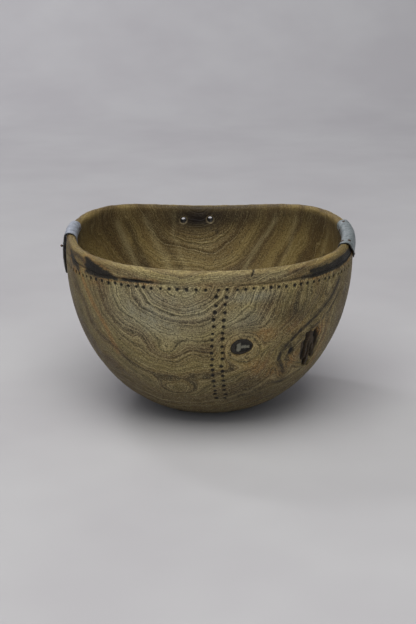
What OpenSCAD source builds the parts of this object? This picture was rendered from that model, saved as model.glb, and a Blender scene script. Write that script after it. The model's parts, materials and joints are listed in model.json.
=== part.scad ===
// Carved wooden bowl: a deep round-bottomed bowl cut from one block, with a small worn foot,
// a wavering rim over an incised line, one row of punched dots below the rim and two columns
// of them down the front. A dead knot sits in the front wall, two cord holes pierce the back
// wall, and a folded sheet clip is nailed over the rim at each end.
// Millimetres, +Z up, origin at the middle of the foot, the dotted front faces -Y.

/* [Bowl] */
// Outside width from left to right at the belly
bowl_w = 250; // [210:1:305]
// Outside width from front to back at the belly
bowl_d = 246; // [205:1:300]
// Mean height of the rim
rim_z = 156.5; // [145:0.5:190]
// Height at which the bowl is widest
belly_z = 138; // [112:1:142]
// How far the rim draws in above the belly
rim_in = 1.5; // [0:0.1:3]
// Diameter of the worn flat foot
foot_d = 54; // [36:1:76]
// Fullness of the side: higher brings the belly lower
side_power = 2.04; // [1.6:0.02:2.6]
// Flare of the foot: higher spreads the side out sooner
foot_power = 1.77; // [1.4:0.01:2.2]
// Squareness of the plan: 2 is an ellipse
plan_power = 2.13; // [2:0.01:2.4]

/* [Wall and floor] */
// Wall thickness at the belly
wall_t = 9; // [7.5:0.1:12]
// Thickness of the lip
lip_t = 7.1; // [6:0.1:10]
// Height of the rounding on the lip
lip_round = 3.5; // [2:0.1:5]
// Thickness of the floor at its middle
floor_t = 13; // [9:0.5:20]
// Diameter of the nearly flat floor inside
floor_d = 44; // [30:1:60]

/* [Rim line] */
// Rise of the two ends of the rim over its long sides
end_rise = 2.9; // [0:0.1:6]
// How much the back of the rim stands above the front
back_rise = 1.6; // [-3:0.1:4]
// Three-fold waver of the rim from carving
waver = 2.4; // [0:0.1:4]
// Drop of the incised line below the rim
line_drop = 11; // [8:0.1:11.5]
// Width of the incised line
line_w = 1.6; // [1:0.1:2.5]
// Depth of the incised line
line_deep = 0.7; // [0.3:0.1:1.2]

/* [Punched dots] */
// Diameter of a dot at the surface
dot_d = 2.6; // [1.5:0.1:3.2]
// Depth of a dot
dot_deep = 1.3; // [0.6:0.1:2]
// Pitch of the dots
dot_pitch = 7; // [5:0.1:12]
// Mean drop of the dotted row below the rim
row_drop = 17; // [16.5:0.5:22]
// How much lower the row runs at the ends than in the middle of the long sides
row_sway = 5.4; // [0:0.1:6]
// Distance between the two dotted columns
column_gap = 8; // [5:0.1:12]
// Pitch of the dots down the columns
column_pitch = 6.3; // [5:0.1:12]
// Middle of the two columns at their left-most place
column_x = 6.2; // [-20:0.1:7]
// Height at which the columns bow furthest to the left
column_bow_z = 83; // [60:1:110]
// How far the columns swing back to the right at the top
column_bow = 4.6; // [0:0.1:8]
// Height at which the columns end
column_foot_z = 31; // [24:1:50]

/* [Knot] */
// Diameter of the dead knot in the front wall
knot_d = 17; // [12:0.5:20]
// Diameter of the hard core inside its bark
core_d = 9; // [6:0.5:10]
// Sideways place of the knot
knot_x = 26.8; // [24:0.1:40]
// Height of the knot
knot_z = 87; // [70:1:110]
// How far the shrunken bark lies below the wood
bark_sink = 1.2; // [0.6:0.1:2]
// How far the core lies below the wood
core_sink = 0.7; // [0.5:0.1:2]
// Radial gap round the bark and round the core
knot_gap = 0.02; // [0.01:0.01:0.1]

/* [Rotted hollow] */
// Sideways place of the hollow where a second knot has rotted
hollow_x = 76; // [70:1:82]
// Height of the hollow
hollow_z = 80; // [70:1:95]
// Width of the hollow
hollow_w = 26; // [14:1:32]
// Depth of the hollow
hollow_deep = 3; // [1:0.1:4]

/* [Cord holes] */
// Diameter of the two cord holes
cord_hole_d = 5; // [3:0.1:7]
// Distance between the cord holes
cord_hole_gap = 25.7; // [18:0.1:40]
// Sideways place of the middle of the two holes
cord_hole_x = -12; // [-20:0.1:20]
// Drop of the cord holes below the mean rim, at the middle of the wall
cord_hole_drop = 16.3; // [12:0.1:22]
// Angle at which the cord holes climb towards the outside
cord_hole_rise = 12; // [0:1:18]

/* [Sheet clips] */
// Thickness of the sheet
sheet_t = 0.9; // [0.6:0.1:1.2]
// Gap between the sheet and the wood it is folded over
sheet_gap = 0.15; // [0.12:0.01:0.4]
// Length of the left clip along the rim
left_clip_w = 32; // [28:1:60]
// How far the left clip sits towards the back
left_clip_shift = 3.5; // [0:0.5:6]
// Length of the right clip along the rim
right_clip_w = 67; // [40:1:70]
// How far the right clip sits towards the front
right_clip_shift = 10.5; // [0:0.5:12]
// Drop of the outer leaf of the left clip below the rim
left_drop = 37; // [30:1:45]
// Drop of the outer leaf of the right clip below the rim
right_drop = 22; // [20:1:45]
// Drop of the inner leaves below the rim
inner_drop = 6.5; // [6.5:0.5:14]
// How far the outer leaf of the left clip bows off the wood
left_bow = 1.5; // [0:0.1:3]
// How far the outer leaf of the right clip bows off the wood
right_bow = 1.8; // [0:0.1:3]

/* [Nails] */
// Diameter of a nail shank
nail_d = 1.4; // [1:0.1:1.8]
// Diameter of a nail head
head_d = 3; // [2.4:0.1:3.6]
// Height of a nail head
head_h = 0.8; // [0.5:0.1:1.2]
// How far a nail reaches below its head
nail_length = 5; // [4:0.1:6]
// Radial gap round a nail
nail_gap = 0.02; // [0.01:0.01:0.05]
// How far the loose pin on the left clip stands out of the sheet
pin_proud = 1.6; // [1.5:0.1:4]
// Diameter of the small ball head of the loose pin
pin_head_d = 2.2; // [1.8:0.1:3]

/* [Hidden] */
$fn = 24;

turns = 80;           // facets round the bowl
low_rows = 15;        // facets up the side, from the foot to the rim zone
rim_rows = 5;         // facets up the rim zone, to the incised line
lip_steps = 6;        // facets over the lip
floor_rows = 14;      // facets inside, from the rim zone down to the floor
foot_cut = 1;         // the foot as carved, below where it is worn flat
fine_waver = 0.8;     // four-fold waver of the rim
rim_zone = max(left_drop, right_drop) + 4;
over = 20;            // how far cutters reach past a wall
slip = 0.02;          // clearance under a nail head

// ---- the carved form; t is the angle round the bowl, 0 at +X and 90 at the back ----

function signed_pow(v, p) = sign(v) * pow(abs(v), p);
function plan(t) = [bowl_w / 2 * signed_pow(cos(t), 2 / plan_power),
                    bowl_d / 2 * signed_pow(sin(t), 2 / plan_power)];
function reach(t) = norm(plan(t));
function rim(t) = rim_z + end_rise * cos(2 * t) + back_rise * sin(t)
                  + waver * sin(3 * t) - fine_waver * cos(4 * t);

// share of the way from foot to belly, at share u of the height
function swell(u) = pow(1 - pow(1 - min(max(u, 0), 1), side_power), 1 / foot_power);
function above_belly(z) = max(0, (z - belly_z) / (rim_z - belly_z));
function outer_r(t, z) = foot_d / 2 + (reach(t) - foot_d / 2) * swell(z / belly_z)
                         - rim_in * pow(above_belly(z), 2);
function inner_r(t, z) =
    z < belly_z
    ? floor_d / 2 + (reach(t) - wall_t - floor_d / 2) * swell((z - floor_t) / (belly_z - floor_t))
    : reach(t) - wall_t + (wall_t - lip_t - rim_in) * pow(above_belly(z), 2);

// points as [radius, height] in the upright plane at angle t; drop is below the rim there
function outer_at(t, drop) = [outer_r(t, rim(t) - drop), rim(t) - drop];
function inner_at(t, drop) = [inner_r(t, rim(t) - drop), rim(t) - drop];
function lip_at(t, turn) =
    let (a = outer_at(t, lip_round), b = inner_at(t, lip_round))
    [(a[0] + b[0]) / 2 + (a[0] - b[0]) / 2 * cos(turn), a[1] + lip_round * sin(turn)];
function to_xyz(t, rz) = [plan(t)[0] * rz[0] / reach(t), plan(t)[1] * rz[0] / reach(t), rz[1]];

function unit(v) = v / norm(v);
function skin_point(t, z) = to_xyz(t, [outer_r(t, z), z]);
function skin_normal(t, z) = unit(cross(skin_point(t + 0.5, z) - skin_point(t - 0.5, z),
                                        skin_point(t, z + 0.5) - skin_point(t, z - 0.5)));
// the angle at which the front of the skin passes through x, at height z
function front_angle(x, z) =
    let (half_w = bowl_w / 2 * outer_r(270, z) / reach(270))
    360 - acos(signed_pow(x / half_w, plan_power / 2));

// ---- helpers ----

// stands its children on point p, their Z along direction n
module stand(p, n) {
    translate(p)
        rotate([0, acos(n[2]), atan2(n[1], n[0])])
            children();
}

// a closed skin through rows of points, each row a closed ring of the same count
module rings(rows) {
    count = len(rows[0]);
    sides = [for (i = [0 : len(rows) - 2]) for (j = [0 : count - 1])
        let (a = i * count + j, b = i * count + (j + 1) % count)
        each [[a, a + count, b], [b, a + count, b + count]]];
    first = [for (j = [0 : count - 1]) j];
    last = [for (j = [count - 1 : -1 : 0]) (len(rows) - 1) * count + j];
    polyhedron([for (row = rows) each row], concat(sides, [first, last]), convexity = 8);
}

// ---- bowl ----

// steps that come out even along the round bottom of the side
function step_up(i, count, low, high) = low + (high - low) * pow(i / count, foot_power);
function ring(point) = [for (j = [0 : turns - 1]) point(j * 360 / turns)];

function foot_ring() = ring(function (t) to_xyz(t, [foot_d / 2, -foot_cut]));
function side_ring(i) = ring(function (t)
    let (z = step_up(i, low_rows, 0, rim(t) - rim_zone)) to_xyz(t, [outer_r(t, z), z]));
function floor_ring(i) = ring(function (t)
    let (z = step_up(i, floor_rows, floor_t, rim(t) - rim_zone)) to_xyz(t, [inner_r(t, z), z]));
function outer_ring(drop, cut) = ring(function (t) to_xyz(t, outer_at(t, drop) - [cut, 0]));
function lip_ring(turn) = ring(function (t) to_xyz(t, lip_at(t, turn)));
function inner_ring(drop) = ring(function (t) to_xyz(t, inner_at(t, drop)));
function between(a, b, k, count) = a + (b - a) * k / count;

module carved_block() {
    line_foot = line_drop + line_w / 2;
    line_head = line_drop - line_w / 2;
    rings(concat(
        [foot_ring()],
        [for (i = [1 : low_rows]) side_ring(i)],
        [for (k = [1 : rim_rows]) outer_ring(between(rim_zone, line_foot, k, rim_rows), 0)],
        [outer_ring(line_drop, line_deep)],
        [for (k = [0 : 2]) outer_ring(between(line_head, lip_round, k, 2), 0)],
        [for (k = [1 : lip_steps]) lip_ring(between(0, 180, k, lip_steps))],
        [for (k = [1 : 4]) inner_ring(between(lip_round, rim_zone, k, 4))],
        [for (i = [floor_rows - 1 : -1 : 0]) floor_ring(i)]));
}

module dot(t, z) {
    stand(skin_point(t, z), skin_normal(t, z))
        translate([0, 0, -dot_deep])
            cylinder(h = 2 * dot_deep, d1 = 0.4 * dot_d, d2 = 1.6 * dot_d, $fn = 16);
}

// true where no clip covers the rim
function bare(t) =
    let (from_right = t > 180 ? t - 360 : t, margin = 2)
    (t < left_a - margin || t > left_b + margin)
    && (from_right > right_a + margin || from_right < right_b - margin);

function row_z(t) = rim(t) - row_drop - row_sway / 2 * cos(2 * t);

module dotted_row() {
    count = floor(PI * (bowl_w + bowl_d) / 2 / dot_pitch);
    for (i = [0 : count - 1])
        let (t = i * 360 / count)
            if (bare(t))
                dot(t, row_z(t));
}

// sideways place of the middle of the two columns at height z
function column_mid(z) =
    column_x + column_bow * pow((z - column_bow_z) / (row_z(270) - column_bow_z), 2);
// heights of the dots, a pitch apart along the curved side
function column_heights(z) = z < column_foot_z ? []
    : let (n = skin_normal(270, z)) concat([z], column_heights(z - column_pitch * norm([n[0], n[1]])));

module dotted_columns() {
    for (z = column_heights(row_z(270) - column_pitch))
        for (side = [-1, 1])
            dot(front_angle(column_mid(z) + side * column_gap / 2, z), z);
}

module cord_holes() {
    for (side = [-1, 1])
        translate([cord_hole_x + side * cord_hole_gap / 2, (bowl_d - wall_t) / 2, rim_z - cord_hole_drop])
            rotate([90 + cord_hole_rise, 0, 0])
                cylinder(h = 2 * over, d = cord_hole_d, center = true, $fn = 48);
}

// a dish cut by a ball whose size follows from the width and depth of the hollow
module rotted_hollow() {
    ball_r = (pow(hollow_w / 2, 2) + pow(hollow_deep, 2)) / (2 * hollow_deep);
    t = front_angle(hollow_x, hollow_z);
    stand(skin_point(t, hollow_z), skin_normal(t, hollow_z))
        translate([0, 0, ball_r - hollow_deep])
            sphere(r = ball_r, $fn = 60);
}

module bowl_body() {
    color("#716a50")
        difference() {
            carved_block();
            translate([0, 0, -over])
                cube([2 * bowl_w, 2 * bowl_d, 2 * over], center = true);
            dotted_row();
            dotted_columns();
            rotted_hollow();
            cord_holes();
            knot_place()
                cylinder(h = 2 * over, d = knot_d, center = true, $fn = 48);
            left_nails()
                nail_hole();
            right_nails()
                nail_hole();
        }
}

// ---- knot ----

module knot_place() {
    t = front_angle(knot_x, knot_z);
    stand(skin_point(t, knot_z), skin_normal(t, knot_z))
        children();
}

// thickness of the wall at the knot, square to the skin
function knot_wall() =
    let (t = front_angle(knot_x, knot_z), n = skin_normal(t, knot_z))
    (outer_r(t, knot_z) - inner_r(t, knot_z)) * norm([n[0], n[1]]);

module knot_bark() {
    color("#25221b")
        knot_place()
            translate([0, 0, bark_sink - knot_wall()])
                difference() {
                    cylinder(h = knot_wall() - 2 * bark_sink, r = knot_d / 2 - knot_gap, $fn = 48);
                    cylinder(h = 4 * over, d = core_d, center = true, $fn = 48);
                }
}

module knot_core() {
    color("#4c4a40")
        knot_place()
            translate([0, 0, core_sink - knot_wall()])
                cylinder(h = knot_wall() - 2 * core_sink, r = core_d / 2 - knot_gap, $fn = 48);
}

// ---- sheet clips ----

// half the angle that a length w of the rim covers, at the ends of the bowl
function half_angle(w) = asin(pow(w / bowl_d, plan_power / 2));

left_a = 180 - half_angle(left_clip_w + 2 * left_clip_shift);
left_b = 180 + half_angle(left_clip_w - 2 * left_clip_shift);
right_a = half_angle(right_clip_w - 2 * right_clip_shift);
right_b = -half_angle(right_clip_w + 2 * right_clip_shift);

// a fold runs in rows up the outer leaf, over the lip and down the inner leaf
outer_rows = 7;
inner_rows = 2;
crown_row = outer_rows + lip_steps / 2;
last_row = outer_rows + lip_steps + inner_rows;
clip_steps = 14;      // facets along a clip

// each clip is [angle at its back end, angle at its front end, drop of its outer leaf, bow of
// that leaf, share of the way up at which it bows most, degrees by which the front end of the
// outer leaf is cut back at its foot, degrees by which the inner leaf runs on there]
left_fold = [left_a, left_b, left_drop, left_bow, 0.5, 0, 7];
right_fold = [right_a, right_b, right_drop, right_bow, 0.68, 14, 1.5];

function wood_under(fold, row, t) =
    row < outer_rows ? outer_at(t, between(fold[2], lip_round, row, outer_rows))
    : row <= outer_rows + lip_steps ? lip_at(t, 180 * (row - outer_rows) / lip_steps)
    : inner_at(t, between(lip_round, inner_drop, row - outer_rows - lip_steps, inner_rows));
function out_of_wood(fold, row, t) =
    let (d = wood_under(fold, min(row + 1, last_row), t) - wood_under(fold, max(row - 1, 0), t))
    [d[1], -d[0]] / norm(d);
function stand_off(fold, row) =
    row >= crown_row ? 0 : fold[3] * sin(180 * pow(row / crown_row, ln(0.5) / ln(fold[4])));
function sheet_point(fold, row, t, level) =
    to_xyz(t, wood_under(fold, row, t)
           + out_of_wood(fold, row, t) * (sheet_gap + stand_off(fold, row) + level));
function front_end(fold, row) =
    fold[1] + sign(fold[1] - fold[0]) * (fold[6] * max(0, (row - outer_rows) / (last_row - outer_rows))
                                         - fold[5] * max(0, 1 - row / outer_rows));
function sheet_angle(fold, row, share) = between(fold[0], front_end(fold, row), share, 1);

module folded_sheet(fold) {
    count = 2 * (last_row + 1);
    turned = fold[1] > fold[0];
    points = [for (j = [0 : clip_steps]) each concat(
        [for (row = [0 : last_row])
            sheet_point(fold, row, sheet_angle(fold, row, j / clip_steps), 0)],
        [for (row = [last_row : -1 : 0])
            sheet_point(fold, row, sheet_angle(fold, row, j / clip_steps), sheet_t)])];
    sides = [for (j = [0 : clip_steps - 1]) for (i = [0 : count - 1])
        let (p = j * count + i, q = j * count + (i + 1) % count)
        each [[p, p + count, q], [q, p + count, q + count]]];
    ends = [for (row = [0 : last_row - 1])
        let (k = count - 1 - row, far = clip_steps * count)
        each [[row, row + 1, k], [row + 1, k - 1, k],
              [far + row, far + k, far + row + 1], [far + row + 1, far + k, far + k - 1]]];
    polyhedron(points,
               [for (f = concat(sides, ends)) turned ? f : [f[0], f[2], f[1]]],
               convexity = 8);
}

module left_rim_clip() {
    color("#8d929a")
        difference() {
            folded_sheet(left_fold);
            left_nails()
                nail_hole();
        }
}

module right_rim_clip() {
    color("#7f8586")
        difference() {
            folded_sheet(right_fold);
            right_nails()
                nail_hole();
        }
}

// ---- nails ----

// stands its children on the sheet, at a row of the fold and a share of the way along it
module on_sheet(fold, row, share) {
    t = sheet_angle(fold, row, share);
    across = sheet_point(fold, row, t + 0.5, sheet_t) - sheet_point(fold, row, t - 0.5, sheet_t);
    along = sheet_point(fold, row + 0.5, t, sheet_t) - sheet_point(fold, row - 0.5, t, sheet_t);
    stand(sheet_point(fold, row, t, sheet_t), unit(cross(across, along)))
        children();
}

module nail_hole() {
    translate([0, 0, -nail_length - slip])
        cylinder(h = nail_length + over, r = nail_d / 2 + nail_gap);
}

module nail() {
    dome = [for (k = [0 : 6]) [head_d / 2 * cos(15 * k), head_h * sin(15 * k)]];
    translate([0, 0, slip])
        rotate_extrude()
            polygon(concat([[0, -nail_length], [nail_d / 2 - 0.2, -nail_length],
                            [nail_d / 2, 0.8 - nail_length], [nail_d / 2, 0]], dome));
}

outer_nail_row = 1.5;
inner_nail_row = last_row - 1.5;

module left_outer_places() {
    for (share = [0.15, 0.5, 0.85])
        on_sheet(left_fold, outer_nail_row, share)
            children();
}

module left_inner_places() {
    for (share = [0.12, 0.9])
        on_sheet(left_fold, inner_nail_row, share)
            children();
}

module left_pin_place() {
    on_sheet(left_fold, crown_row - 5, 0.85)
        children();
}

module right_outer_places() {
    for (share = [0.12, 0.48, 0.84])
        on_sheet(right_fold, outer_nail_row, share)
            children();
}

module right_crown_places() {
    on_sheet(right_fold, crown_row, 0.08)
        children();
    for (row = [crown_row - 1.1, crown_row + 1.1])
        on_sheet(right_fold, row, 0.89)
            children();
}

module right_inner_places() {
    for (share = [0.2, 0.95])
        on_sheet(right_fold, inner_nail_row, share)
            children();
}

module left_nails() {
    left_outer_places() children();
    left_inner_places() children();
    left_pin_place() children();
}

module right_nails() {
    right_outer_places() children();
    right_crown_places() children();
    right_inner_places() children();
}

module left_outer_nails() {
    color("#3a3733") left_outer_places() nail();
}

module left_inner_nails() {
    color("#3a3733") left_inner_places() nail();
}

module left_loose_pin() {
    color("#3a3733")
        left_pin_place() {
            translate([0, 0, -nail_length])
                cylinder(h = nail_length + pin_proud, d = nail_d);
            translate([0, 0, pin_proud])
                sphere(d = pin_head_d);
        }
}

module right_outer_nails() {
    color("#3a3733") right_outer_places() nail();
}

module right_crown_nails() {
    color("#3a3733") right_crown_places() nail();
}

module right_inner_nails() {
    color("#3a3733") right_inner_places() nail();
}

bowl_body();
knot_bark();
knot_core();
left_rim_clip();
left_outer_nails();
left_inner_nails();
left_loose_pin();
right_rim_clip();
right_crown_nails();
right_outer_nails();
right_inner_nails();
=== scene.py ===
import json
import math
import bmesh
import bpy
import numpy as np
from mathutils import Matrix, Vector, noise
from mathutils.kdtree import KDTree


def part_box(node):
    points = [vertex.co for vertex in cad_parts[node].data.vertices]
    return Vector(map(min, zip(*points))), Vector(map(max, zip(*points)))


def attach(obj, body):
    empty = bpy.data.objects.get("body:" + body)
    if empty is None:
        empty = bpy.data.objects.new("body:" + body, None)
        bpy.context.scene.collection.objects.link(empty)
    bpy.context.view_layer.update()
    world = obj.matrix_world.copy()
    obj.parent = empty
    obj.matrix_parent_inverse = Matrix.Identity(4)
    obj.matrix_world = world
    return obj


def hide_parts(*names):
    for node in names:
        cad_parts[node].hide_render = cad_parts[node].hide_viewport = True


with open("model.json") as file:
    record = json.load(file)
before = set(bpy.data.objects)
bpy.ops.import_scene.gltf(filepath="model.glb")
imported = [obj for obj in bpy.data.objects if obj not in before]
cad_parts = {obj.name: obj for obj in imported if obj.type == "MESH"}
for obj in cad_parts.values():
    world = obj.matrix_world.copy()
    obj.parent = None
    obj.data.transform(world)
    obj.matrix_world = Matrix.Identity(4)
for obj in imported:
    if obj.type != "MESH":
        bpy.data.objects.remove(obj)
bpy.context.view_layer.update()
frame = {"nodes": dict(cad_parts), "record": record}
record = frame["record"]
mm = 0.001
scene = bpy.context.scene
scene.view_settings.view_transform = "Standard"
print("frame loaded:", len(frame["nodes"]), "nodes")


def linear(code, alpha=1.0):  # sRGB hex to the linear values that Blender works in
    parts = [int(code[i:i + 2], 16) / 255 for i in (1, 3, 5)]
    return [p / 12.92 if p <= 0.04045 else ((p + 0.055) / 1.055) ** 2.4 for p in parts] + [alpha]


def smooth(low, high, value):  # 0 below low, 1 above high, eased between
    k = np.clip((value - low) / (high - low), 0, 1)
    return k * k * (3 - 2 * k)


def grainNoise(points, size, seed):  # lattice noise, about -1 to 1, with lumps of that size in mm
    shift = Vector((seed * 17.3, seed * -9.1, seed * 5.7))
    return np.array([noise.noise(Vector(p) / size + shift) for p in points])


def finishPiece(piece, node):
    scene.collection.objects.link(piece)
    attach(piece, "root")
    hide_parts(node)
    return piece


def smoothFaces(mesh, angle=38):  # smooth, with creases where faces meet more sharply than that
    mesh.polygons.foreach_set("use_smooth", [True] * len(mesh.polygons))
    mesh.set_sharp_from_angle(angle=math.radians(angle))


# the carved form, in mm; t is the angle round the bowl, 0 at +X and 90 degrees at the back
bodyLow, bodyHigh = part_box("bowl_body")
halfWidth = (bodyHigh.x - bodyLow.x) / 2 / mm
halfDepth = (bodyHigh.y - bodyLow.y) / 2 / mm
form = {
    "meanRim": 156.5, "belly": 138, "rimIn": 1.5, "footWidth": 54,
    "sidePower": 2.04, "footPower": 1.77, "planPower": 2.13,
    "wall": 9, "lip": 7.1, "lipRound": 3.5, "floor": 13, "floorWidth": 44,
    "endRise": 2.9, "backRise": 1.6, "waver": 2.4, "fineWaver": 0.8,
}


def signedPow(value, power):
    return np.sign(value) * np.abs(value) ** power


def plan(t):
    power = 2 / form["planPower"]
    return halfWidth * signedPow(np.cos(t), power), halfDepth * signedPow(np.sin(t), power)


def reach(t):
    return np.hypot(*plan(t))


def rimHeight(t):
    return (form["meanRim"] + form["endRise"] * np.cos(2 * t) + form["backRise"] * np.sin(t)
            + form["waver"] * np.sin(3 * t) - form["fineWaver"] * np.cos(4 * t))


def swell(share):
    share = np.clip(share, 0, 1)
    return (1 - (1 - share) ** form["sidePower"]) ** (1 / form["footPower"])


def aboveBelly(z):
    return np.maximum(0, (z - form["belly"]) / (form["meanRim"] - form["belly"]))


def outerRadius(t, z):
    foot = form["footWidth"] / 2
    return foot + (reach(t) - foot) * swell(z / form["belly"]) - form["rimIn"] * aboveBelly(z) ** 2


def innerRadius(t, z):
    well = form["floorWidth"] / 2
    rise = swell((z - form["floor"]) / (form["belly"] - form["floor"]))
    low = well + (reach(t) - form["wall"] - well) * rise
    high = reach(t) - form["wall"] + (form["wall"] - form["lip"] - form["rimIn"]) * aboveBelly(z) ** 2
    return np.where(z < form["belly"], low, high)


def angleOf(points):  # the angle t of each point
    x = np.abs(points[:, 0] / halfWidth) ** (form["planPower"] / 2) * np.sign(points[:, 0])
    y = np.abs(points[:, 1] / halfDepth) ** (form["planPower"] / 2) * np.sign(points[:, 1])
    return np.arctan2(y, x)


def frontAngle(x, z):  # the angle at which the front of the skin passes through x
    halfHere = halfWidth * outerRadius(np.array(-math.pi / 2), z) / reach(np.array(-math.pi / 2))
    return -np.arccos(signedPow(x / halfHere, form["planPower"] / 2))


def skinPoint(t, z):
    t = np.asarray(t, float)
    x, y = plan(t)
    k = outerRadius(t, z) / reach(t)
    return np.stack([x * k, y * k, np.broadcast_to(z, np.shape(k))], -1)


def skinFrame(t, z):  # place, outward normal, sideways direction to the right, and up the slope
    place = skinPoint(t, z)
    side = skinPoint(t + 0.005, z) - skinPoint(t - 0.005, z)
    up = skinPoint(t, z + 0.3) - skinPoint(t, z - 0.3)
    side /= np.linalg.norm(side)
    up /= np.linalg.norm(up)
    normal = np.cross(side, up)
    return place, normal / np.linalg.norm(normal), side, up


# where the marks on the wood are
marks = {
    "lineDrop": 11, "lineWidth": 2.2, "lineDeep": 0.8,
    "dotSize": 1.55, "dotDeep": 1.3, "dotPitch": 7, "dotRowDrop": 17, "dotRowSway": 5.4,
    "columnPitch": 6.3, "columnGap": 8, "columnX": 6.2, "columnBow": 4.6, "columnBowZ": 83, "columnFootZ": 31,
    "hollowAngle": 316.3, "hollowZ": 75.5, "hollowHalfWide": 13.5, "hollowHalfTall": 23.5,
    "hollowDeep": 2.6, "hollowSink": 0.9, "hollowLean": -14, "cordWear": 0.9,
}
rng = np.random.default_rng(7)


def rowHeight(t):
    return rimHeight(t) - marks["dotRowDrop"] - marks["dotRowSway"] / 2 * np.cos(2 * t)


def dotPlaces():
    places = []
    count = int(math.pi * (halfWidth + halfDepth) / marks["dotPitch"])
    leftSpan = (math.radians(170), math.radians(190))
    rightSpan = (math.radians(-19), math.radians(11))
    for i in range(count):
        t = 2 * math.pi * i / count + rng.normal(0, 0.0035)
        near = (t + math.pi) % (2 * math.pi) - math.pi
        if leftSpan[0] < t < leftSpan[1] or rightSpan[0] < near < rightSpan[1]:
            continue
        places.append((t, rowHeight(t) + rng.normal(0, 0.35), 1.0))
    top = rowHeight(-math.pi / 2)
    z = top - marks["columnPitch"]
    while z > marks["columnFootZ"]:
        share = (z - marks["columnBowZ"]) / (top - marks["columnBowZ"])
        middle = marks["columnX"] + marks["columnBow"] * share ** 2
        for side in (-1, 1):
            x = middle + side * marks["columnGap"] / 2 + rng.normal(0, 0.3)
            height = z + rng.normal(0, 0.5)
            places.append((float(frontAngle(x, height)), height, 1.18))
        normal = skinFrame(-math.pi / 2, z)[1]
        z -= marks["columnPitch"] * math.hypot(normal[0], normal[1])
    return places


dots = []
for angle, height, size in dotPlaces():
    place, _, side, up = skinFrame(angle, height)
    radius, wear = marks["dotSize"] * size * rng.uniform(0.8, 1.12), rng.uniform(0.5, 1.1)
    dots.append((place, side, up, radius, marks["dotDeep"] * wear))
dotTree = KDTree(len(dots))
for k, d in enumerate(dots):
    dotTree.insert(Vector(d[0]), k)
dotTree.balance()
knotLow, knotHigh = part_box("knot_bark")
knotCentre = (knotLow + knotHigh) / 2 / mm
knotAngle = float(frontAngle(knotCentre.x, knotCentre.z))
knotPlace, knotNormal, knotSide, knotUp = skinFrame(knotAngle, knotCentre.z)
hollowAngle = math.radians(marks["hollowAngle"])
hollowPlace, _, hollowSide, hollowUp = skinFrame(hollowAngle, marks["hollowZ"])
cordHoles = [m for m in record["mounts"] if m["name"].startswith("cord_hole")]
print("marks placed:", len(dots), "punched dots,", len(cordHoles), "cord holes")


def boreDistance(points, hole):  # from the line of a cord hole, in mm
    centre = np.array(hole["pos_m"]) / mm
    d = points - centre
    along = d @ np.array(hole["axis"])
    return np.linalg.norm(d - along[:, None] * np.array(hole["axis"]), axis=1) + 50 * (points[:, 1] < 60)


def local(points, place, side, up):  # sideways and upward distances from a place on the skin
    d = points - place
    return d @ side, d @ up


# small flaws, each [angle in degrees, height, half length, half width, turn in degrees, depth]
flaws = [
    [284.8, 151.6, 3.6, 0.9, 62, 1.3],   # notch in the lip
    [232.5, 88, 1.3, 0.8, 20, 0.9],      # worm hole low on the left
    [243, 127.5, 1.2, 0.6, 10, 0.5],
    [304.4, 78.5, 2.4, 4.2, -15, 1.6],   # small rotted pocket beside the hollow
]
flawFrames = [skinFrame(math.radians(f[0]), f[1]) for f in flaws]


def hollowShape(points):  # depth of the rotted hollow, and how dark its fissures are
    across, rise = local(points, hollowPlace, hollowSide, hollowUp)
    lean = math.radians(marks["hollowLean"])
    a = across * math.cos(lean) - rise * math.sin(lean)
    b = across * math.sin(lean) + rise * math.cos(lean)
    taper = 0.84 + 0.16 * np.clip(b / marks["hollowHalfTall"], -1, 1)
    ragged = 0.3 * np.array([noise.noise(Vector((x / 4, y / 9, 3.1))) for x, y in zip(a, b)])
    edge = np.sqrt((a / marks["hollowHalfWide"] / taper) ** 2 + (b / marks["hollowHalfTall"]) ** 2) + ragged
    inside = 1 - smooth(0.8, 0.96, edge)
    rib = np.array([noise.noise(Vector((x / 2.3, y / 16, 7.7))) for x, y in zip(a, b)])
    split = smooth(-0.16, 0.2, rib)
    return inside, split * inside


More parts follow.
